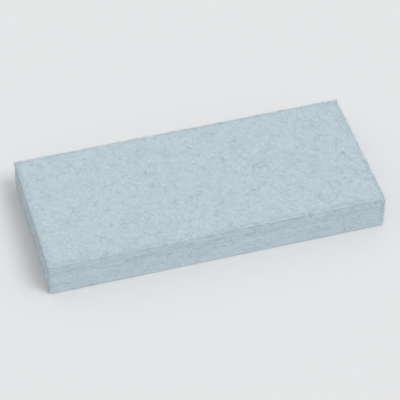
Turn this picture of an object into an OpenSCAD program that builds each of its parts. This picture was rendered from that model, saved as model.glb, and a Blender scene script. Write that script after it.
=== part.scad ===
// Textile insulation panel: a semi-rigid batt of bonded fibre, felted into one piece.
// It lies on its back face, with X along its length, Y across its width and Z through
// its thickness. The origin is the middle of the back face.

/* [Panel] */
// Length of the panel, from one cut end to the other
panel_length = 1350; // [600:10:3000]
// Width of the panel, which fills the bay between two studs
panel_width = 600; // [300:5:1200]
// Thickness of the panel, from its back face to its front face
panel_thickness = 150; // [40:5:240]

/* [Soft edges] */
// Radius of the arris between a broad face and a long edge, where the slitting knife ran
long_arris_radius = 6; // [2:0.5:15]
// Radius of the arris between a broad face and an end, where the panel was cut to length
end_arris_radius = 5; // [2:0.5:15]
// Radius of the upright corner between a long edge and an end
corner_radius = 4; // [2:0.5:15]

/* [Hidden] */
$fn = 64;
fibre_colour = "#bcccd4";

// A rectangle about the origin with its four corners rounded.
module rounded_rectangle(length, width, radius) {
    square([length - 2 * radius, width], center = true);
    square([length, width - 2 * radius], center = true);
    for (side_x = [-1, 1], side_y = [-1, 1])
        translate([side_x * (length / 2 - radius), side_y * (width / 2 - radius)])
            circle(r = radius);
}

// The panel's outline seen from above, drawn up through its thickness.
module outline_block() {
    translate([0, 0, panel_thickness / 2])
        linear_extrude(panel_thickness, center = true)
            rounded_rectangle(panel_length, panel_width, corner_radius);
}

// The panel's section across its width, drawn along its length.
module long_section_block() {
    translate([0, 0, panel_thickness / 2])
        rotate([90, 0, 90])
            linear_extrude(panel_length, center = true)
                rounded_rectangle(panel_width, panel_thickness, long_arris_radius);
}

// The panel's section along its length, drawn across its width.
module end_section_block() {
    translate([0, 0, panel_thickness / 2])
        rotate([90, 0, 0])
            linear_extrude(panel_width, center = true)
                rounded_rectangle(panel_length, panel_thickness, end_arris_radius);
}

// The whole panel is what the three rounded outlines have in common, so each of its
// twelve edges has its own radius and the eight corners are mitred softly into each other.
module insulation_panel() {
    color(fibre_colour)
        intersection() {
            outline_block();
            long_section_block();
            end_section_block();
        }
}

insulation_panel();
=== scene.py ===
"""Textile insulation panel: a semi-rigid batt of bonded fibre, lying on a plain floor."""

import itertools
import math
import random

import bmesh
import bpy
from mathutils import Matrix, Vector, noise
from mathutils.bvhtree import BVHTree


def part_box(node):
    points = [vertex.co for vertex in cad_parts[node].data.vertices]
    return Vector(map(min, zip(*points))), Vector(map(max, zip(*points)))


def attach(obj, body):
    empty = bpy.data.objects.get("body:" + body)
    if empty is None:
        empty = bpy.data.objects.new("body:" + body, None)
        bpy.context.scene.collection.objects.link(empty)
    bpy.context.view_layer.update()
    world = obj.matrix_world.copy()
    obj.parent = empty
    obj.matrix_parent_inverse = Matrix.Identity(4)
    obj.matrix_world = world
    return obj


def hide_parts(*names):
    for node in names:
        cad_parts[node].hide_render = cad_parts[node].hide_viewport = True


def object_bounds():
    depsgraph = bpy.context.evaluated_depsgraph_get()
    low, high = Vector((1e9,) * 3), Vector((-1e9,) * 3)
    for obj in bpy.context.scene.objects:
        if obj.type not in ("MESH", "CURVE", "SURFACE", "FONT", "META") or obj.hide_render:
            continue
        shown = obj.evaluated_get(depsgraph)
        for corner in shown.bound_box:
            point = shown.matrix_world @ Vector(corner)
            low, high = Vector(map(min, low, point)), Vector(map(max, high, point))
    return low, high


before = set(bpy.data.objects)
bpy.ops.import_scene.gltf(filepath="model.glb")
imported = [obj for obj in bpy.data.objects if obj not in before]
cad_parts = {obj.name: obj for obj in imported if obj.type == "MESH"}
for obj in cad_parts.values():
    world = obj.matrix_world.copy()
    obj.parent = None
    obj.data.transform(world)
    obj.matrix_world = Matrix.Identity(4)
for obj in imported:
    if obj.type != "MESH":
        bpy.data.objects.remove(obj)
CAD_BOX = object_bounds()
NODE = "insulation_panel"
LOW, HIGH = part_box(NODE)

bl_info = {
    "name": "Textile insulation panel",
    "version": (1, 0, 0),
    "blender": (4, 5, 0),
    "location": "View3D > Sidebar > Textile panel",
    "description": "Builds a batt of bonded textile fibre with its loose fibres, on a plain stage",
    "category": "Add Mesh",
}

MM = 0.001
BAKE_MAP = "OFBake"
UP = Vector((0, 0, 1))
# Where a colour mix has its sockets, because it has others of the same names for plain numbers.
FACTOR, A_COLOUR, B_COLOUR, MIXED_COLOUR = 0, 6, 7, 2


def linear(hex_colour):
    """The linear red, green and blue of an sRGB hex colour."""
    channels = [int(hex_colour[i : i + 2], 16) / 255 for i in (1, 3, 5)]
    return tuple(c / 12.92 if c <= 0.04045 else ((c + 0.055) / 1.055) ** 2.4 for c in channels)


# ---------------------------------------------------------------- settings


def length_setting(name, description, default, least=0.0):
    """A length in metres."""
    return bpy.props.FloatProperty(
        name=name,
        description=description,
        default=default,
        min=least,
        unit="LENGTH",
        subtype="DISTANCE",
    )


def colour_setting(name, description, hex_colour):
    """A colour, given as sRGB hex."""
    return bpy.props.FloatVectorProperty(
        name=name,
        description=description,
        default=linear(hex_colour),
        size=3,
        min=0.0,
        max=1.0,
        subtype="COLOR",
    )


def count_setting(name, description, default, least=1):
    """A whole number."""
    return bpy.props.IntProperty(name=name, description=description, default=default, min=least)


def share_setting(name, description, default):
    """A share from 0 to 1."""
    return bpy.props.FloatProperty(
        name=name,
        description=description,
        default=default,
        min=0.0,
        max=1.0,
        subtype="FACTOR",
    )


def angle_setting(name, description, degrees):
    """An angle, given in degrees."""
    return bpy.props.FloatProperty(
        name=name,
        description=description,
        default=math.radians(degrees),
        subtype="ANGLE",
    )


def strength_setting(name, description, default):
    """The strength of a light."""
    return bpy.props.FloatProperty(name=name, description=description, default=default, min=0.0)


class DyeSettings(bpy.types.PropertyGroup):
    """The colours of the sorted textile that the fibres come from."""

    white: colour_setting("White", "Undyed cotton", "#DDE6EA")
    pale: colour_setting("Pale", "The palest blue in the mix", "#C6D4DB")
    middle: colour_setting("Middle", "The blue that most of the fibres have", "#B8C9D1")
    # The shade dye is a deeper fibre blue. It is also laid into the hollows of the felt as painted shade.
    shade: colour_setting("Shade", "The deeper blue in the hollows of the felt", "#A6BAC4")
    indigo: colour_setting("Indigo", "The few well-dyed fibres in the mix", "#7996AA")


class BattSettings(bpy.types.PropertyGroup):
    """Sizes of the fibre batt."""

    arris: length_setting("Arris", "Radius of the soft edge all round the batt", 6 * MM, least=MM)
    face_step: length_setting("Face step", "Spacing of the mesh on the broad faces", 5.7 * MM, least=MM)
    edge_step: length_setting("Edge step", "Spacing of the mesh on the cut edges", 2.3 * MM, least=MM)
    loft: length_setting("Loft", "How far the broad faces rise and sink slowly", 1.3 * MM)
    droop: length_setting("Droop", "How far the broad faces sink towards their edges", 0.8 * MM)
    nap: length_setting("Nap", "Depth of the felted lumps on every face", 0.6 * MM)
    ply: length_setting("Ply", "Thickness of one bundle of web layers", 12.5 * MM, least=MM)
    joint: length_setting("Joint", "How deep the joints between the plies open", 1.4 * MM)


class FaceFibreSettings(bpy.types.PropertyGroup):
    """The loose fibres that lie on the front face."""

    count: count_setting("Count", "How many fibres lie on the face", 4900)
    points: count_setting("Points", "How many points a fibre bends at", 7, least=3)
    sides: count_setting("Sides", "How many sides a fibre has", 3, least=3)
    thickness: length_setting("Thickness", "Thickness of a fibre or wisp", 0.4 * MM)
    length: length_setting("Length", "Usual length of a fibre", 34 * MM)
    lift: length_setting("Lift", "How far a fibre rises from the face", 1.5 * MM)
    free: share_setting("Free", "Share of the fibres with one end that stands free", 0.15)
    seed: count_setting("Seed", "Start of the random draws", 11)


class EdgeFibreSettings(bpy.types.PropertyGroup):
    """The fibres that the saw left on the four cut edges."""

    count: count_setting("Count", "How many fibres show on the cut edges", 4900)
    points: count_setting("Points", "How many points a fibre bends at", 7, least=3)
    sides: count_setting("Sides", "How many sides a fibre has", 3, least=3)
    thickness: length_setting("Thickness", "Thickness of a fibre or wisp", 0.35 * MM)
    length: length_setting("Length", "Usual length of a fibre", 20 * MM)
    lift: length_setting("Lift", "How far a fibre stands out of the edge", 2.4 * MM)
    free: share_setting("Free", "Share of the fibres with one end that stands free", 0.5)
    tilt: angle_setting("Tilt", "How far a fibre may lean out of the plane of its ply", 30)
    seed: count_setting("Seed", "Start of the random draws", 12)


class ArrisFibreSettings(bpy.types.PropertyGroup):
    """The fibres teased out along the upper arrises and the corners."""

    count: count_setting("Count", "How many fibres hang over the arrises", 4900)
    points: count_setting("Points", "How many points a fibre bends at", 7, least=3)
    sides: count_setting("Sides", "How many sides a fibre has", 3, least=3)
    thickness: length_setting("Thickness", "Thickness of a fibre or wisp", 0.35 * MM)
    length: length_setting("Length", "Usual length of a fibre", 18 * MM)
    lift: length_setting("Lift", "How far a fibre stands off the arris", 2.0 * MM)
    free: share_setting("Free", "Share of the fibres with one end that stands free", 0.6)
    reach: length_setting("Reach", "How far from an arris its fibres start", 9 * MM)
    seed: count_setting("Seed", "Start of the random draws", 13)


class ThreadSettings(bpy.types.PropertyGroup):
    """The ends of thread that the shredder didn't open into fibre."""

    count: count_setting("Count", "How many thread ends show", 700)
    points: count_setting("Points", "How many points a thread end bends at", 13, least=3)
    sides: count_setting("Sides", "How many sides a thread end has", 5, least=3)
    thickness: length_setting("Thickness", "Thickness of a thread", 0.8 * MM)
    length: length_setting("Length", "Usual length of a thread end", 42 * MM)
    lift: length_setting("Lift", "How far a thread rises from the face", 1.2 * MM)
    free: share_setting("Free", "Share of the threads with one end that stands free", 0.1)
    seed: count_setting("Seed", "Start of the random draws", 14)


class StageSettings(bpy.types.PropertyGroup):
    """The floor, the light and the camera."""

    floor: colour_setting("Floor", "Colour of the plain floor", "#E1E2E3")
    backdrop: colour_setting("Backdrop", "Colour behind the floor, which is the lit floor's", "#E6E7E8")
    sky: strength_setting("Sky", "Strength of the even light from all round", 0.72)
    sun: strength_setting("Sun", "Strength of the soft key light", 1.28)
    softness: angle_setting("Softness", "How wide the key light is", 30)
    azimuth: angle_setting("Azimuth", "Turn of the camera round the panel", -16)
    elevation: angle_setting("Elevation", "Height of the camera above the panel", 45)
    lens: bpy.props.FloatProperty(
        name="Lens",
        description="Focal length of the camera",
        default=180.0,
        min=1.0,
        unit="CAMERA",
    )
    margin: share_setting("Margin", "Share of the picture left free on each side", 0.035)


# ---------------------------------------------------------------- nodes and materials

CLUMP = 48 * MM  # how wide the clumps are that the shreds of one garment make
TUFT = 11 * MM  # how wide the tufts are that the card leaves in them
GRAIN = 2.4 * MM  # how wide the felt's own grain is
# Real fibres are 15 to 40 mm long and 0.02 mm wide. These are as coarse as they need to be to show.
WISP, WISP_TURNS = (22 * MM, 2.6 * MM), (0.1, 0.75, 1.45, 2.2)  # length and width, and turns in radians
HAIR, HAIR_TURNS = (12 * MM, 0.9 * MM), (0.4, 1.3, 2.5)  # the same of the hairs
CURL, CURL_SIZE = 14 * MM, 34 * MM  # how far the pattern is pushed about, and in waves of what size
WEB_RUN, WEB = 90 * MM, 3.5 * MM  # length and thickness of the web's layers, seen on a cut edge
DYE_EDGE = 0.02  # share of the fibres over which one dye runs into the next


def add(tree, kind, output, inputs=None, **settings):
    """Adds a node with its settings and returns the output named.

    Each of its inputs is given a value or another node's output.
    """
    made = tree.nodes.new(kind)
    for name, value in settings.items():
        setattr(made, name, value)
    for socket, value in (inputs or {}).items():
        if isinstance(value, bpy.types.NodeSocket):
            tree.links.new(value, made.inputs[socket])
        else:
            made.inputs[socket].default_value = value
    return None if output is None else made.outputs[output]


def empty_material(name):
    """A material without nodes, and its tree."""
    material = bpy.data.materials.new(name)
    material.use_nodes = True
    material.node_tree.nodes.clear()
    return material, material.node_tree


def rgba(colour):
    """A colour as a socket takes it."""
    return (*colour, 1.0)


def curled(tree, place, reach, size):
    """Coordinates pushed about by up to that reach, in waves of that size, so that a pattern curls."""
    push = add(tree, "ShaderNodeTexNoise", "Color", {"Vector": place, "Scale": 1 / size, "Detail": 1.0})
    return add(
        tree,
        "ShaderNodeVectorMath",
        "Vector",
        {0: push, 1: (2 * reach,) * 3, 2: place},
        operation="MULTIPLY_ADD",
    )


def streaks(tree, place, length, width, turn=0.0, detail=2.0):
    """Noise drawn out into streaks of that length and width in metres, turned about the vertical."""
    turned = add(
        tree,
        "ShaderNodeMapping",
        "Vector",
        {"Vector": place, "Rotation": (0, 0, turn), "Scale": (length, width, width)},
        vector_type="TEXTURE",
    )
    return add(tree, "ShaderNodeTexNoise", "Fac", {"Vector": turned, "Scale": 1.0, "Detail": detail})


def over(tree, colour, tint, field, low, high, most):
    """Lays a tint over a colour: none of it where the field is low, and the most where it is high."""
    share = add(
        tree,
        "ShaderNodeMapRange",
        "Result",
        {"Value": field, "From Min": low, "From Max": high, "To Min": 0.0, "To Max": most},
        interpolation_type="SMOOTHSTEP",
    )
    return add(
        tree,
        "ShaderNodeMix",
        MIXED_COLOUR,
        {FACTOR: share, A_COLOUR: colour, B_COLOUR: tint},
        data_type="RGBA",
    )


def mottled(tree, colour, dyes, field, spread, most):
    """Lays the pale dye over a colour where the field is high, and the shade where it is low."""
    colour = over(tree, colour, rgba(dyes.pale), field, low=0.5, high=0.5 + spread, most=most)
    return over(tree, colour, rgba(dyes.shade), field, low=0.5, high=0.5 - spread, most=most)


def heathered(tree, place, dyes):
    """The mixed colours of the felt, and the relief that goes with them. The tufts, wisps and hairs set
    both, so over the fibre's own mixed tones the deeper tints lie in the relief's hollows as painted
    shade and the paler ones lie on its crests as painted light.
    """
    waved = curled(tree, place, CURL, CURL_SIZE)
    clumps = streaks(tree, waved, CLUMP, CLUMP)
    tufts = streaks(tree, waved, TUFT, TUFT)
    grain = streaks(tree, place, GRAIN, GRAIN)
    wisps = [streaks(tree, waved, *WISP, turn, detail=1.0) for turn in WISP_TURNS]
    hairs = [streaks(tree, waved, *HAIR, turn, detail=1.0) for turn in HAIR_TURNS]

    # The clumps are the fibre's own tones. The tufts, wisps and hairs below also paint shade into the
    # hollows of the relief they raise, and light onto its crests.
    colour = mottled(tree, rgba(dyes.middle), dyes, clumps, spread=0.25, most=0.33)
    colour = mottled(tree, colour, dyes, tufts, spread=0.2, most=0.3)
    for wisp in wisps:
        colour = over(tree, colour, rgba(dyes.white), wisp, low=0.58, high=0.7, most=0.25)
        colour = over(tree, colour, rgba(dyes.shade), wisp, low=0.42, high=0.3, most=0.45)
    for hair in hairs:
        colour = over(tree, colour, rgba(dyes.white), hair, low=0.6, high=0.68, most=0.35)
        colour = over(tree, colour, rgba(dyes.indigo), hair, low=0.38, high=0.3, most=0.2)

    height = 0.0
    for fields, depth in (([grain], 0.5), ([tufts], 1.0), (wisps, 0.6), (hairs, 0.35)):
        for field in fields:
            height = add(
                tree,
                "ShaderNodeMath",
                0,
                {0: field, 1: depth, 2: height},
                operation="MULTIPLY_ADD",
            )
    return colour, height


def layered(tree, place, dyes, colour, height):
    """The same fibre on a cut edge, where the web's layers show as streaks and the plies as bands. The
    streaks are deeper where they sink and paler where they rise, and the open joints between plies are
    darkened, which paints shade into the relief.
    """
    cut = add(tree, "ShaderNodeAttribute", "Fac", attribute_name="cut_edge")
    joint = add(tree, "ShaderNodeAttribute", "Fac", attribute_name="ply_joint")
    tone = add(tree, "ShaderNodeAttribute", "Fac", attribute_name="ply_tone")
    flat = add(
        tree,
        "ShaderNodeMapping",
        "Vector",
        {"Vector": place, "Scale": (WEB_RUN, WEB_RUN, WEB)},
        vector_type="TEXTURE",
    )
    strata = add(
        tree,
        "ShaderNodeTexNoise",
        "Fac",
        {"Vector": flat, "Scale": 1.0, "Detail": 4.0, "Roughness": 0.6, "Distortion": 0.3},
    )
    # The strata set both colour and relief: indigo in their hollows is painted shade, and pale on their
    # crests is painted light.
    edge = over(tree, colour, rgba(dyes.indigo), strata, low=0.5, high=0.25, most=0.35)
    edge = over(tree, edge, rgba(dyes.pale), strata, low=0.52, high=0.75, most=0.5)
    edge = mottled(tree, edge, dyes, tone, spread=0.5, most=0.35)
    # Painted shade: indigo darkens the joints where the plies open apart.
    edge = over(tree, edge, rgba(dyes.indigo), joint, low=0.0, high=1.0, most=0.4)
    colour = over(tree, colour, edge, cut, low=0.0, high=1.0, most=1.0)
    laid = add(tree, "ShaderNodeMath", 0, {0: strata, 1: cut}, operation="MULTIPLY")
    height = add(tree, "ShaderNodeMath", 0, {0: laid, 1: 1.6, 2: height}, operation="MULTIPLY_ADD")
    return colour, height


def painted_arris_highlight(tree, place, dyes, colour):
    """A painted highlight: white laid in patches along the arrises, so that they read paler than the
    faces beside them.
    """
    arris = add(tree, "ShaderNodeAttribute", "Fac", attribute_name="arris")
    patches = streaks(tree, place, TUFT, TUFT)
    highlit_share = add(tree, "ShaderNodeMath", 0, {0: arris, 1: patches}, operation="MULTIPLY")
    return over(tree, colour, rgba(dyes.white), highlit_share, low=0.0, high=0.5, most=0.5)


def felted_textile(dyes):
    """Carded and thermobonded cotton and polyester.

    The eye gets a matt, soft, heathered blue: faint clouds of paler and deeper fibre, short wisps and
    hairs that curl across each other, and flat layers on the cut edges. Shade is painted into the hollows
    of the relief and the open joints of the plies, and a painted highlight makes the arrises slightly
    paler.
    """
    material, tree = empty_material("felted_textile_fibre")
    place = add(tree, "ShaderNodeTexCoord", "Object")
    colour, height = heathered(tree, place, dyes)
    colour, height = layered(tree, place, dyes, colour, height)
    # Painted highlight along the arrises.
    colour = painted_arris_highlight(tree, place, dyes, colour)
    relief = add(
        tree,
        "ShaderNodeBump",
        "Normal",
        {"Height": height, "Strength": 0.6, "Distance": 1.2 * MM},
    )
    shader = add(
        tree,
        "ShaderNodeBsdfPrincipled",
        "BSDF",
        {
            "Base Color": colour,
            "Roughness": 0.95,
            "Diffuse Roughness": 0.3,
            "IOR": 1.5,
            "Specular IOR Level": 0.2,
            "Sheen Weight": 0.25,
            "Sheen Roughness": 0.6,
            "Normal": relief,
        },
    )
    add(tree, "ShaderNodeOutputMaterial", None, {"Surface": shader})
    return material


def dyed_fibre(name, dyes, shares):
    """Loose cotton and polyester: matt with a faint sheen, each fibre in one of the mix's own colours.

    The shares are those of the indigo, shade, middle and pale fibres, and the rest are white.
    """
    material, tree = empty_material(name)
    tone = add(tree, "ShaderNodeAttribute", "Fac", attribute_name="fibre_tone")
    colour = rgba(dyes.indigo)
    next_dyes = (dyes.shade, dyes.middle, dyes.pale, dyes.white)
    for start, dye in zip(itertools.accumulate(shares), next_dyes):
        colour = over(tree, colour, rgba(dye), tone, start - DYE_EDGE, start + DYE_EDGE, most=1.0)
    shader = add(
        tree,
        "ShaderNodeBsdfPrincipled",
        "BSDF",
        {
            "Base Color": colour,
            "Roughness": 0.85,
            "IOR": 1.5,
            "Specular IOR Level": 0.3,
            "Sheen Weight": 0.3,
        },
    )
    add(tree, "ShaderNodeOutputMaterial", None, {"Surface": shader})
    return material


def plain_floor(colour):
    """A matt painted floor: even and pale, so that only the panel and its shadow are seen."""
    material, tree = empty_material("plain_floor")
    shader = add(
        tree,
        "ShaderNodeBsdfPrincipled",
        "BSDF",
        {"Base Color": rgba(colour), "Roughness": 0.9, "Specular IOR Level": 0.1},
    )
    add(tree, "ShaderNodeOutputMaterial", None, {"Surface": shader})
    return material


# ---------------------------------------------------------------- the batt

BILLOW_SIZE = 170 * MM  # how wide the slow rises of the broad faces are
EASE = 16 * MM  # how quickly the droop of a broad face fades away from its edges
PRESSED = 0.7  # share of its rise and fall that the back face loses under the batt's own weight
LUMP_SIZE = 24 * MM  # how wide the felted lumps are
WANDER, WANDER_SIZE = 5 * MM, 230 * MM  # how far the plies wander up and down, and over what length
PINCH, PINCH_SIZE = 2.2 * MM, 60 * MM  # how far they are pinched together, and over what length
SPLIT_SIZE = 110 * MM  # over what length a joint between plies opens and closes
SPLIT_SHARE = 0.2  # share of a ply, at its top and at its bottom, that a joint takes
SHUT, OPEN = -0.45, 0.5  # how high the noise is where a joint is shut and where it is fully open
CLEAR = 2.5  # how many arris radii in from a broad face a joint may open fully
STREAK, STREAK_SIZE = 0.45 * MM, 6 * MM  # depth and height of the thin layers in a ply
STREAK_RUN = 6  # how many times longer than high they are
SKIN = 0.8 * MM  # how far the batt stays inside its solid, which leaves room for its rises
TURNED = 0.25, 0.75  # how far a normal turns from a broad face before the cut edge starts and is whole
ROUNDED = 0.02, 0.2  # how far it turns from the nearest axis before the arris starts and is whole
GAP = 6 * MM  # room between the sides on the map


def as_object(name, data):
    """An object at the origin that holds the data."""
    made = bpy.data.objects.new(name, data)
    bpy.context.scene.collection.objects.link(made)
    return made


def put_in_order(elements, place):
    """Sorts a mesh's points or faces by place, because Blender's own order may differ from run to run."""
    ranks = {element: rank for rank, element in enumerate(sorted(elements, key=place))}
    elements.sort(key=ranks.get)


def soft_block(arris, steps):
    """The panel's box with rounded edges, cut into an even grid along each axis."""
    bm = bmesh.new()
    bmesh.ops.create_cube(bm, size=1.0)
    bmesh.ops.scale(bm, vec=HIGH - LOW, verts=bm.verts)
    bmesh.ops.translate(bm, vec=(LOW + HIGH) / 2, verts=bm.verts)
    bmesh.ops.bevel(
        bm,
        geom=bm.edges[:],
        offset=arris,
        segments=4,
        profile=0.5,
        affect="EDGES",
        material=-1,
        clamp_overlap=True,
    )
    for axis in range(3):
        flat = (HIGH - LOW)[axis] - 2 * arris
        whole = [e for e in bm.edges if abs((e.verts[1].co - e.verts[0].co)[axis]) > flat - arris]
        cuts = round(flat / steps[axis]) - 1
        bmesh.ops.subdivide_edges(bm, edges=whole, cuts=cuts, use_grid_fill=True)
    bmesh.ops.recalc_face_normals(bm, faces=bm.faces)
    put_in_order(bm.verts, lambda v: v.co.to_tuple())
    put_in_order(bm.faces, lambda f: f.calc_center_median().to_tuple())
    return bm


def unfold(bm):
    """Lays the six sides out flat at one scale on the map that a texture would be baked to."""
    size = HIGH - LOW
    sheet = 2 * size.y + 2 * size.z + 5 * GAP
    beside = size.x + 2 * GAP
    # For the axis and the direction that a side faces: the axes across and up it, and its corner.
    places = {
        (2, True): (0, 1, Vector((GAP, GAP))),
        (2, False): (0, 1, Vector((GAP, size.y + 2 * GAP))),
        (1, True): (0, 2, Vector((GAP, 2 * size.y + 3 * GAP))),
        (1, False): (0, 2, Vector((GAP, 2 * size.y + size.z + 4 * GAP))),
        (0, True): (2, 1, Vector((beside, GAP))),
        (0, False): (2, 1, Vector((beside, size.y + 2 * GAP))),
    }
    axes = (Vector((1, 0, 0)), Vector((0, 1, 0)), UP)
    flat_map = bm.loops.layers.uv.new(BAKE_MAP)
    for face in bm.faces:
        facing = max(range(3), key=lambda axis: abs(face.normal[axis]))
        across, up, corner = places[facing, face.normal[facing] > 0]
        mirrored = axes[across].cross(axes[up]).dot(face.normal) < 0
        for loop in face.loops:
            spot = loop.vert.co
            along = HIGH[across] - spot[across] if mirrored else spot[across] - LOW[across]
            loop[flat_map].uv = (corner + Vector((along, spot[up] - LOW[up]))) / sheet


def fractal(point, size, octaves=2):
    """Noise from about -1 to 1 with lumps of that size in metres."""
    return noise.fractal(point / size, 1.0, 2.0, octaves, noise_basis="PERLIN_ORIGINAL")


def smooth_step(value, low, high):
    """From 0 at low to 1 at high, with no kink at either."""
    t = min(max((value - low) / (high - low), 0.0), 1.0)
    return t * t * (3 - 2 * t)


def face_relief(p, batt):
    """How far a broad face stands out at a point, as it rises and sinks and droops towards its edges."""
    inset = min(p.x - LOW.x, HIGH.x - p.x, p.y - LOW.y, HIGH.y - p.y)
    return fractal(p, BILLOW_SIZE) * batt.loft - math.exp(-inset / EASE) * batt.droop


def edge_relief(p, batt):
    """How far a cut edge stands out at a point, how open the joint there is, and the ply's tone."""
    run = Vector((p.x, p.y, 0))
    wander = fractal(run, WANDER_SIZE) * WANDER + fractal(p, PINCH_SIZE) * PINCH
    level = (p.z + wander) / batt.ply
    ply = math.floor(level)
    to_joint = min(level - ply, ply + 1 - level)
    split = smooth_step(fractal(run + UP * ply, SPLIT_SIZE), SHUT, OPEN)
    inside = smooth_step(min(p.z - LOW.z, HIGH.z - p.z), batt.arris, CLEAR * batt.arris)
    opened = max(0.0, 1 - to_joint / SPLIT_SHARE) * split * inside
    # Each ply has a noise cell of its own, which says from 0 to 1 how far it bulges and how pale it is.
    bulge, tone, _ = noise.cell_vector(Vector((ply + 0.5, 0.5, 0.5)))
    streak = fractal(Vector((p.x / STREAK_RUN, p.y / STREAK_RUN, p.z)), STREAK_SIZE) * STREAK
    return (bulge - 0.5 - opened) * batt.joint + streak, opened, tone


def felt(bm, batt):
    """Moves the grid in and out, so that the faces undulate and the cut edges show their plies."""
    cut_edge = bm.verts.layers.float.new("cut_edge")
    arris = bm.verts.layers.float.new("arris")
    # ply_joint also sets where painted shade darkens the open joints.
    joint = bm.verts.layers.float.new("ply_joint")
    tone = bm.verts.layers.float.new("ply_tone")
    for v in bm.verts:
        out = v.normal.copy()
        p = v.co.copy()
        side = smooth_step(1 - abs(out.z), *TURNED)
        unpressed = 1 - PRESSED * smooth_step(-out.z, *TURNED)
        ribbed, v[joint], v[tone] = edge_relief(p, batt)
        broad = (face_relief(p, batt) - SKIN) * unpressed
        # The lumps are taken from a metre further up in the noise, so that they don't follow the billows.
        lump = fractal(p + UP, LUMP_SIZE, octaves=3) * batt.nap
        v.co += out * (broad * (1 - side) + (ribbed - SKIN) * side + lump)
        v.co.z = max(v.co.z, LOW.z)
        v[cut_edge] = side
        # The arris weight also sets where the painted highlight lies on the arrises.
        v[arris] = smooth_step(1 - max(abs(c) for c in out), *ROUNDED)


class TEXTILE_PANEL_OT_batt(bpy.types.Operator):
    """Builds the bonded fibre batt in place of its plain solid"""

    bl_idname = "textile_panel.batt"
    bl_label = "Fibre batt"

    def execute(self, context):
        batt = context.scene.textile_batt
        bm = soft_block(batt.arris, (batt.face_step, batt.face_step, batt.edge_step))
        bm.normal_update()
        unfold(bm)
        felt(bm, batt)
        mesh = bpy.data.meshes.new("fibre_batt")
        bm.to_mesh(mesh)
        bm.free()
        mesh.shade_smooth()
        mesh.materials.append(felted_textile(context.scene.textile_dyes))
        piece = as_object("fibre_batt", mesh)
        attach(piece, "root")
        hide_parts(NODE)
        return {"FINISHED"}


# ---------------------------------------------------------------- loose fibres

REACH = 30 * MM  # how far out a probe for the batt's surface starts
STAND_OFF = 6 * MM  # the most that a fibre hangs clear of the side below its arris
ROOT = 0.2 * MM  # how deep a fibre's ends lie in the felt
RISING = 1.5  # how a free fibre leaves the felt: evenly at 1, and above that more and more steeply
TAPER = 0.7  # share of its thickness that a fibre loses towards its ends
LENGTHS = (0.4, 1.4)  # the range of the fibres' lengths, as shares of the usual one
LIFTS = (0.2, 1.2)  # the same of their lifts
BENDS = (-1.2, 1.2)  # how far a fibre turns along its length, in radians
SWINGS = (0.3, 1.1)  # how far it swings to either side of that, in radians
CURLS = (0.6, 1.5)  # how many times it does so
FIBRE_SHARES = (0.03, 0.17, 0.3, 0.3)  # of the indigo, shade, middle and pale fibres
THREAD_SHARES = (0.06, 0.16, 0.24, 0.26)  # of the same four among the thread ends
CELL_EDGE = 0.15  # share of a fibre's cell on the map that stays free on each side

# The sides that fibres start on. Each is its way out, a corner, the edge along it and the edge up it.
ALONG = Vector((HIGH.x - LOW.x, 0, 0))
ACROSS = Vector((0, HIGH.y - LOW.y, 0))
THROUGH = Vector((0, 0, HIGH.z - LOW.z))
FRONT = [(UP, LOW + THROUGH, ALONG, ACROSS)]
CUT_EDGES = [
    (Vector((0, -1, 0)), LOW, ALONG, THROUGH),
    (Vector((0, 1, 0)), LOW + ACROSS, ALONG, THROUGH),
    (Vector((-1, 0, 0)), LOW, ACROSS, THROUGH),
    (Vector((1, 0, 0)), LOW + ALONG, ACROSS, THROUGH),
]


def scattered(sides, dice, tilt=math.pi):
    """Endless random starts on the sides, each heading within that tilt of the side's long edge."""
    areas = [u.length * v.length for _out, _corner, u, v in sides]
    while True:
        out, corner, u, v = dice.choices(sides, areas)[0]
        turn = dice.uniform(-tilt, tilt)
        heading = u.normalized() * math.cos(turn) + v.normalized() * math.sin(turn)
        yield corner + u * dice.random() + v * dice.random(), heading, out


def near_arris(starts, reach):
    """Those of the starts that are within reach of an upper arris or a corner."""
    for start, heading, out in starts:
        insets = (start.x - LOW.x, HIGH.x - start.x, start.y - LOW.y, HIGH.y - start.y, HIGH.z - start.z)
        # The least inset is to the start's own side, and the next to the side beyond its nearest arris.
        if sorted(insets)[1] < reach:
            yield start, heading, out


def held_over(spot, out, stand):
    """The spot kept within a small stand-off of the panel's outline, and how far it had to come back."""
    kept = spot.copy()
    for axis in range(3):
        if not out[axis]:
            kept[axis] = min(max(spot[axis], LOW[axis] - stand), HIGH[axis] + stand)
    return kept, (spot - kept).length


def fibre_path(start, heading, out, kind, surface, dice):
    """The points of one fibre, which curls along its side, rises from it and hangs over an arris."""
    sideways = out.cross(heading)
    step = kind.length * dice.uniform(*LENGTHS) / (kind.points - 1)
    lift = kind.lift * dice.uniform(*LIFTS)
    free = dice.random() < kind.free
    bend = dice.uniform(*BENDS)
    swing = dice.uniform(*SWINGS)
    curl = dice.uniform(*CURLS) * math.tau
    phase = dice.uniform(0, math.tau)
    stand = dice.uniform(0, STAND_OFF)
    path = []
    spot = start.copy()
    height = 0.0
    for i in range(kind.points):
        t = i / (kind.points - 1)
        kept, beyond = held_over(spot, out, stand)
        found = surface.ray_cast(kept + out * REACH, -out, 2 * REACH)[0]
        # Past the arris the probe meets nothing, and the fibre hangs down from the height it had there.
        if found is not None:
            height = (found - kept).dot(out)
        rise = lift * (t**RISING if free else math.sin(math.pi * t)) - ROOT
        path.append(kept + out * (height + rise - beyond))
        angle = bend * t + swing * math.sin(phase + t * curl)
        spot += (heading * math.cos(angle) + sideways * math.sin(angle)) * step
    return path


def fibre_paths(starts, kind, surface, dice):
    """Endless paths from the starts, leaving out those that would touch the floor."""
    for start, heading, out in starts:
        path = fibre_path(start, heading, out, kind, surface, dice)
        if min(spot.z for spot in path) > LOW.z + kind.thickness:
            yield path


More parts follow.
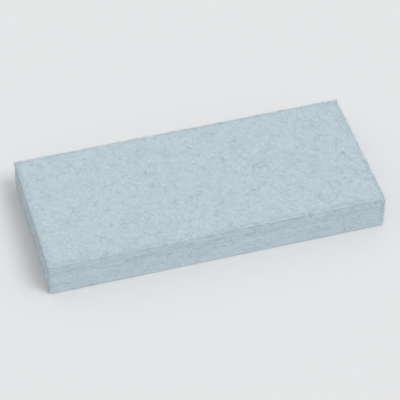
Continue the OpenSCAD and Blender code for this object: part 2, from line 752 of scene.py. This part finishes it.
def rings_along(path, thickness):
    """For each point of a path, the point and two ways across the path, as long as the fibre's radius."""
    last = len(path) - 1
    # The first way across is any, and each next one turns from it as little as it can, without a twist.
    across = (path[1] - path[0]).orthogonal()
    for i, spot in enumerate(path):
        ahead = (path[min(i + 1, last)] - path[max(i - 1, 0)]).normalized()
        across = (across - ahead * across.dot(ahead)).normalized()
        radius = thickness / 2 * (1 - TAPER * (2 * i / last - 1) ** 2)
        yield spot, across * radius, ahead.cross(across) * radius


def laid_along(path, thickness, points):
    """The points of the straight fibre, moved so that it lies along a path."""
    rings = list(rings_along(path, thickness))
    for point in points:
        spot, across, above = rings[round(point.z * (len(path) - 1))]
        yield spot + across * point.x + above * point.y


def straight_fibre(kind):
    """One straight fibre: a prism with closed ends from z=0 to z=1, cut into short lengths."""
    bm = bmesh.new()
    bmesh.ops.create_cone(bm, cap_ends=True, segments=kind.sides, radius1=1.0, radius2=1.0, depth=1.0)
    bmesh.ops.translate(bm, vec=(0, 0, 0.5), verts=bm.verts)
    long_edges = [e for e in bm.edges if abs(e.verts[1].co.z - e.verts[0].co.z) > 0.5]
    bmesh.ops.subdivide_edges(bm, edges=long_edges, cuts=kind.points - 2)
    mesh = bpy.data.meshes.new("straight_fibre")
    bm.to_mesh(mesh)
    bm.free()
    return mesh


def copies(mesh, count, name):
    """Copies of a mesh in one, all in its own place."""
    maker = as_object(name, mesh)
    array = maker.modifiers.new("copies", "ARRAY")
    array.count = count
    array.use_relative_offset = False
    joined = bpy.data.meshes.new_from_object(maker.evaluated_get(bpy.context.evaluated_depsgraph_get()))
    bpy.data.objects.remove(maker)
    joined.name = name
    return joined


def lay_in_cells(mesh, points, count):
    """Gives each fibre a cell of its own on the map that a texture would be baked to."""
    columns = math.ceil(math.sqrt(count))
    places = []
    # A fibre's length runs across its cell, and its width up it.
    for loop in mesh.loops:
        fibre, point = divmod(loop.vertex_index, len(points))
        row, column = divmod(fibre, columns)
        places.append((column + CELL_EDGE + (1 - 2 * CELL_EDGE) * points[point].z) / columns)
        places.append((row + 0.5 + (0.5 - CELL_EDGE) * points[point].y) / columns)
    mesh.uv_layers.new(name=BAKE_MAP).uv.foreach_set("vector", places)


def fibre_piece(name, kind, starts, material, dice):
    """Makes the fibres of one kind from straight copies, each with a path and a tone of its own."""
    surface = BVHTree.FromObject(bpy.data.objects["fibre_batt"], bpy.context.evaluated_depsgraph_get())
    paths = list(itertools.islice(fibre_paths(starts, kind, surface, dice), kind.count))
    tones = [dice.random() for _path in paths]
    one = straight_fibre(kind)
    points = [v.co.copy() for v in one.vertices]
    places = [place for path in paths for place in laid_along(path, kind.thickness, points)]
    mesh = copies(one, kind.count, name)
    bpy.data.meshes.remove(one)
    mesh.vertices.foreach_set("co", [c for place in places for c in place])
    tone = mesh.attributes.new("fibre_tone", "FLOAT", "POINT")
    tone.data.foreach_set("value", [t for t in tones for _ in points])
    lay_in_cells(mesh, points, kind.count)
    mesh.update()
    mesh.shade_smooth()
    mesh.materials.append(material)
    piece = as_object(name, mesh)
    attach(piece, "root")


class TEXTILE_PANEL_OT_face_fibres(bpy.types.Operator):
    """Lays loose fibres over the front face"""

    bl_idname = "textile_panel.face_fibres"
    bl_label = "Face fibres"

    def execute(self, context):
        kind = context.scene.textile_face
        dice = random.Random(kind.seed)
        material = dyed_fibre("loose_textile_fibre", context.scene.textile_dyes, FIBRE_SHARES)
        fibre_piece("face_fibres", kind, scattered(FRONT, dice), material, dice)
        return {"FINISHED"}


class TEXTILE_PANEL_OT_edge_fibres(bpy.types.Operator):
    """Lays the cut fibres along the plies of the four cut edges"""

    bl_idname = "textile_panel.edge_fibres"
    bl_label = "Edge fibres"

    def execute(self, context):
        kind = context.scene.textile_edge
        dice = random.Random(kind.seed)
        material = dyed_fibre("cut_textile_fibre", context.scene.textile_dyes, FIBRE_SHARES)
        fibre_piece("edge_fibres", kind, scattered(CUT_EDGES, dice, kind.tilt), material, dice)
        return {"FINISHED"}


class TEXTILE_PANEL_OT_arris_fibres(bpy.types.Operator):
    """Hangs teased-out fibres over the upper arrises and the corners"""

    bl_idname = "textile_panel.arris_fibres"
    bl_label = "Arris fibres"

    def execute(self, context):
        kind = context.scene.textile_arris
        dice = random.Random(kind.seed)
        starts = near_arris(scattered(FRONT + CUT_EDGES, dice), kind.reach)
        material = dyed_fibre("teased_textile_fibre", context.scene.textile_dyes, FIBRE_SHARES)
        fibre_piece("arris_fibres", kind, starts, material, dice)
        return {"FINISHED"}


class TEXTILE_PANEL_OT_thread_ends(bpy.types.Operator):
    """Lays short ends of unopened thread over the front face and the cut edges"""

    bl_idname = "textile_panel.thread_ends"
    bl_label = "Thread ends"

    def execute(self, context):
        kind = context.scene.textile_thread
        dice = random.Random(kind.seed)
        material = dyed_fibre("unopened_cotton_thread", context.scene.textile_dyes, THREAD_SHARES)
        fibre_piece("thread_ends", kind, scattered(FRONT + CUT_EDGES, dice), material, dice)
        return {"FINISHED"}


# ---------------------------------------------------------------- the stage

FLOOR_REACH = 12.0  # metres from the middle of the floor to its edge
KEY_PLACE = Vector((0.9, -1.0, 1.9))  # where the key light shines from, towards the origin


def lay_floor(settings):
    """A floor so wide that its edge isn't seen."""
    bm = bmesh.new()
    bmesh.ops.create_grid(bm, x_segments=1, y_segments=1, size=FLOOR_REACH)
    mesh = bpy.data.meshes.new("floor")
    bm.to_mesh(mesh)
    bm.free()
    mesh.materials.append(plain_floor(settings.floor))
    as_object("floor", mesh)


def light_evenly(settings):
    """A world that lights the panel in white from all round, and is seen in the backdrop's colour."""
    world = bpy.data.worlds.new("even_light")
    bpy.context.scene.world = world
    world.use_nodes = True
    tree = world.node_tree
    tree.nodes.clear()
    seen = 0.0
    for ray in ("Is Camera Ray", "Is Glossy Ray", "Is Transmission Ray"):
        path = add(tree, "ShaderNodeLightPath", ray)
        seen = add(tree, "ShaderNodeMath", 0, {0: seen, 1: path}, operation="MAXIMUM")
    light = add(
        tree,
        "ShaderNodeBackground",
        "Background",
        {"Color": (1.0, 1.0, 1.0, 1.0), "Strength": settings.sky},
    )
    backdrop = add(
        tree,
        "ShaderNodeBackground",
        "Background",
        {"Color": rgba(settings.backdrop), "Strength": 1.0},
    )
    both = add(tree, "ShaderNodeMixShader", "Shader", {0: seen, 1: light, 2: backdrop})
    add(tree, "ShaderNodeOutputWorld", None, {"Surface": both})


def aim(thing, back):
    """Turns a lamp or camera so that it looks away from that direction."""
    thing.rotation_mode = "QUATERNION"
    thing.rotation_quaternion = (-back).to_track_quat("-Z", "Y")


def hang_key(settings):
    """One wide lamp above the near right corner."""
    lamp = bpy.data.lights.new("soft_key", "SUN")
    lamp.energy = settings.sun
    lamp.angle = settings.softness
    key = as_object("soft_key", lamp)
    key.location = KEY_PLACE
    aim(key, KEY_PLACE)


def framed_place(corners, turn, slope, margin):
    """Where a camera with that turn stands, so that the corners just fill the picture inside its margin.

    Seen in the camera's own axes, each corner bounds how near the camera may come on either side of it.
    """
    reach = slope * (1 - 2 * margin)
    seen = [turn.transposed() @ c for c in corners]
    spans = []
    for axis in (0, 1):
        most = max(p[axis] + reach * p.z for p in seen)
        least = min(p[axis] - reach * p.z for p in seen)
        spans.append((most, least))
    away = max((most - least) / (2 * reach) for most, least in spans)
    return turn @ Vector((sum(spans[0]) / 2, sum(spans[1]) / 2, away))


def set_camera(settings):
    """A camera that looks down on the front face and takes in the whole panel."""
    view = bpy.data.cameras.new("camera")
    view.lens = settings.lens
    camera = as_object("camera", view)
    around, above = settings.azimuth, settings.elevation
    level = Vector((math.sin(around), -math.cos(around), 0))
    aim(camera, level * math.cos(above) + UP * math.sin(above))
    corners = [Vector(corner) for corner in itertools.product(*zip(*CAD_BOX))]
    turn = camera.rotation_quaternion.to_matrix()
    slope = view.sensor_width / 2 / view.lens
    camera.location = framed_place(corners, turn, slope, settings.margin)
    bpy.context.scene.camera = camera


class TEXTILE_PANEL_OT_stage(bpy.types.Operator):
    """Makes the plain floor, the soft light and the camera"""

    bl_idname = "textile_panel.stage"
    bl_label = "Floor, light and camera"

    def execute(self, context):
        settings = context.scene.textile_stage
        lay_floor(settings)
        light_evenly(settings)
        hang_key(settings)
        set_camera(settings)
        context.scene.view_settings.view_transform = "Standard"
        return {"FINISHED"}


class TEXTILE_PANEL_PT_sidebar(bpy.types.Panel):
    """The dyes, and the stage and the pieces with their settings"""

    bl_idname = "TEXTILE_PANEL_PT_sidebar"
    bl_label = "Textile insulation panel"
    bl_space_type = "VIEW_3D"
    bl_region_type = "UI"
    bl_category = "Textile panel"

    def draw(self, context):
        for name, (settings, operator) in SECTIONS.items():
            box = self.layout.box()
            for setting in settings.__annotations__:
                box.prop(getattr(context.scene, name), setting)
            if operator:
                box.operator(operator.bl_idname)


# For each group of settings, by its name in the scene: its class and the operator that uses it alone.
SECTIONS = {
    "textile_dyes": (DyeSettings, None),
    "textile_stage": (StageSettings, TEXTILE_PANEL_OT_stage),
    "textile_batt": (BattSettings, TEXTILE_PANEL_OT_batt),
    "textile_face": (FaceFibreSettings, TEXTILE_PANEL_OT_face_fibres),
    "textile_edge": (EdgeFibreSettings, TEXTILE_PANEL_OT_edge_fibres),
    "textile_arris": (ArrisFibreSettings, TEXTILE_PANEL_OT_arris_fibres),
    "textile_thread": (ThreadSettings, TEXTILE_PANEL_OT_thread_ends),
}
CLASSES = [cls for pair in SECTIONS.values() for cls in pair if cls] + [TEXTILE_PANEL_PT_sidebar]


def register():
    """Registers the classes and gives every scene their settings."""
    for cls in CLASSES:
        bpy.utils.register_class(cls)
    for name, (settings, _operator) in SECTIONS.items():
        setattr(bpy.types.Scene, name, bpy.props.PointerProperty(type=settings))


def unregister():
    """Takes the settings and the classes away again."""
    for name in SECTIONS:
        delattr(bpy.types.Scene, name)
    for cls in reversed(CLASSES):
        bpy.utils.unregister_class(cls)


def main():
    """Makes the stage and the pieces."""
    register()
    bpy.ops.textile_panel.stage()
    bpy.ops.textile_panel.batt()
    bpy.ops.textile_panel.face_fibres()
    bpy.ops.textile_panel.edge_fibres()
    bpy.ops.textile_panel.arris_fibres()
    bpy.ops.textile_panel.thread_ends()


if __name__ == "__main__":
    main()
